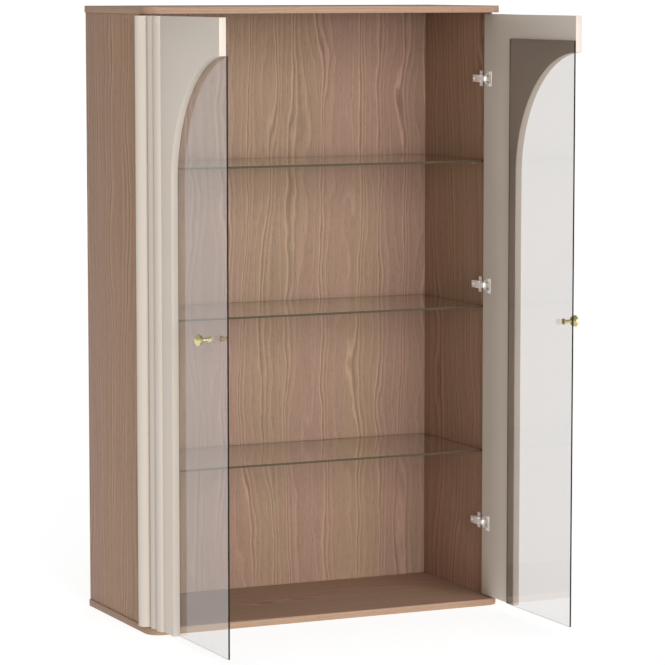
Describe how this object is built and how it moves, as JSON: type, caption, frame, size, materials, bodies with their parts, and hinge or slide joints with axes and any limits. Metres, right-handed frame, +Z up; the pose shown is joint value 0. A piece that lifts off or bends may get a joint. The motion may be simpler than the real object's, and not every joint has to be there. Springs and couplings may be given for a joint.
{
  "type": "bookcase with glass doors",
  "caption": "Free-standing wood-grain bookcase with glass shelves and a pair of arched, ribbed frame doors with grey glass, shown open.",
  "frame": {"origin": "centre of the underside of the base panel", "axes": "+X to the right seen from the front, +Y to the back, +Z up"},
  "size_m": [0.944, 0.791, 1.427],
  "materials": {
    "walnut_laminate": "satin wood-grain laminate",
    "beige_lacquer": "satin lacquer on fibreboard",
    "smoked_glass": "polished, grey tint",
    "clear_glass": "polished",
    "brass": "polished",
    "nickel": "bright nickel plate",
    "zinc_steel": "zinc plate",
    "clear_plastic": "clear, polished",
    "brown_plastic": "matt, colour of the laminate",
    "beech": "raw"
  },
  "bodies": {
    "carcass": {"back_panel": "walnut_laminate", "base_dowels": "beech", "base_panel": "walnut_laminate", "base_panel_screws": "zinc_steel", "hinge_arm_screws": "zinc_steel", "hinge_plate_screws": "zinc_steel", "left_lower_hinge_arm": "nickel", "left_lower_hinge_plate": "nickel", "left_middle_hinge_arm": "nickel", "left_middle_hinge_plate": "nickel", "left_side_panel": "walnut_laminate", "left_upper_hinge_arm": "nickel", "left_upper_hinge_plate": "nickel", "lower_glass_shelf": "clear_glass", "middle_glass_shelf": "clear_glass", "right_lower_hinge_arm": "nickel", "right_lower_hinge_plate": "nickel", "right_middle_hinge_arm": "nickel", "right_middle_hinge_plate": "nickel", "right_side_panel": "walnut_laminate", "right_upper_hinge_arm": "nickel", "right_upper_hinge_plate": "nickel", "shelf_pads": "clear_plastic", "shelf_pins": "brown_plastic", "top_dowels": "beech", "top_panel": "walnut_laminate", "top_panel_screws": "zinc_steel", "top_screw_caps": "brown_plastic", "upper_glass_shelf": "clear_glass"},
    "left_door": {"left_door_frame": "beige_lacquer", "left_outer_rib": "beige_lacquer", "left_middle_rib": "beige_lacquer", "left_inner_rib": "beige_lacquer", "left_door_glass": "smoked_glass", "left_knob": "brass", "left_knob_spacer": "clear_plastic", "left_knob_washers": "clear_plastic", "left_knob_screw": "clear_plastic", "left_upper_hinge_cup": "nickel", "left_middle_hinge_cup": "nickel", "left_lower_hinge_cup": "nickel", "left_hinge_pins": "zinc_steel", "left_cup_screws": "zinc_steel"},
    "right_door": {"right_door_frame": "beige_lacquer", "right_outer_rib": "beige_lacquer", "right_middle_rib": "beige_lacquer", "right_inner_rib": "beige_lacquer", "right_door_glass": "smoked_glass", "right_knob": "brass", "right_knob_spacer": "clear_plastic", "right_knob_washers": "clear_plastic", "right_knob_screw": "clear_plastic", "right_upper_hinge_cup": "nickel", "right_middle_hinge_cup": "nickel", "right_lower_hinge_cup": "nickel", "right_hinge_pins": "zinc_steel", "right_cup_screws": "zinc_steel"}
  },
  "joints": [
    {"name": "left_door_hinge", "type": "hinge", "parent": "carcass", "child": "left_door", "pos_m": [-0.435, -0.15851, 0.7135], "axis": [0, 0, -1], "range_deg": [-90, 5]},
    {"name": "right_door_hinge", "type": "hinge", "parent": "carcass", "child": "right_door", "pos_m": [0.435, -0.15851, 0.7135], "axis": [0, 0, 1], "range_deg": [-90, 5]}
  ]
}
